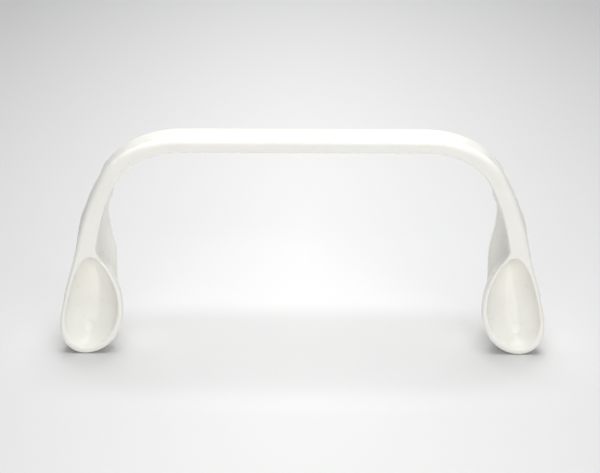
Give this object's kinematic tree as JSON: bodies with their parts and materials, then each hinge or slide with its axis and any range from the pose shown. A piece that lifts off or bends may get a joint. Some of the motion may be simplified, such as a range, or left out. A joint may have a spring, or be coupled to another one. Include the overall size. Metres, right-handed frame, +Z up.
{
  "type": "cheek retractor",
  "caption": "Self-retaining lip and cheek retractor: a springy white plastic bow with a hollow outer flange and a flat inner flange at each end.",
  "frame": {"origin": "on the floor, under the middle of the retractor as it stands on its flanges with the bow on top", "axes": "+X across the mouth to the viewer's right, +Y into the mouth, +Z up from the flanges to the bow"},
  "size_m": [0.1296, 0.02, 0.06],
  "materials": {
    "ivory_plastic": "smooth semi-gloss moulded nylon, ivory white"
  },
  "bodies": {
    "bow": {"bow_bar": "ivory_plastic"},
    "left_side": {"left_arm": "ivory_plastic", "left_outer_flange": "ivory_plastic", "left_lip_saddle": "ivory_plastic", "left_inner_flange": "ivory_plastic"},
    "right_side": {"right_arm": "ivory_plastic", "right_outer_flange": "ivory_plastic", "right_lip_saddle": "ivory_plastic", "right_inner_flange": "ivory_plastic"}
  },
  "joints": [
    {"name": "left_flex", "type": "hinge", "parent": "bow", "child": "left_side", "pos_m": [-0.025, 0, 0.05815], "axis": [0, -1, 0], "range_deg": [-6, 28], "stiffness_Nm_per_rad": 1.54},
    {"name": "right_flex", "type": "hinge", "parent": "bow", "child": "right_side", "pos_m": [0.025, 0, 0.05815], "axis": [0, 1, 0], "range_deg": [-6, 28], "stiffness_Nm_per_rad": 1.54}
  ]
}
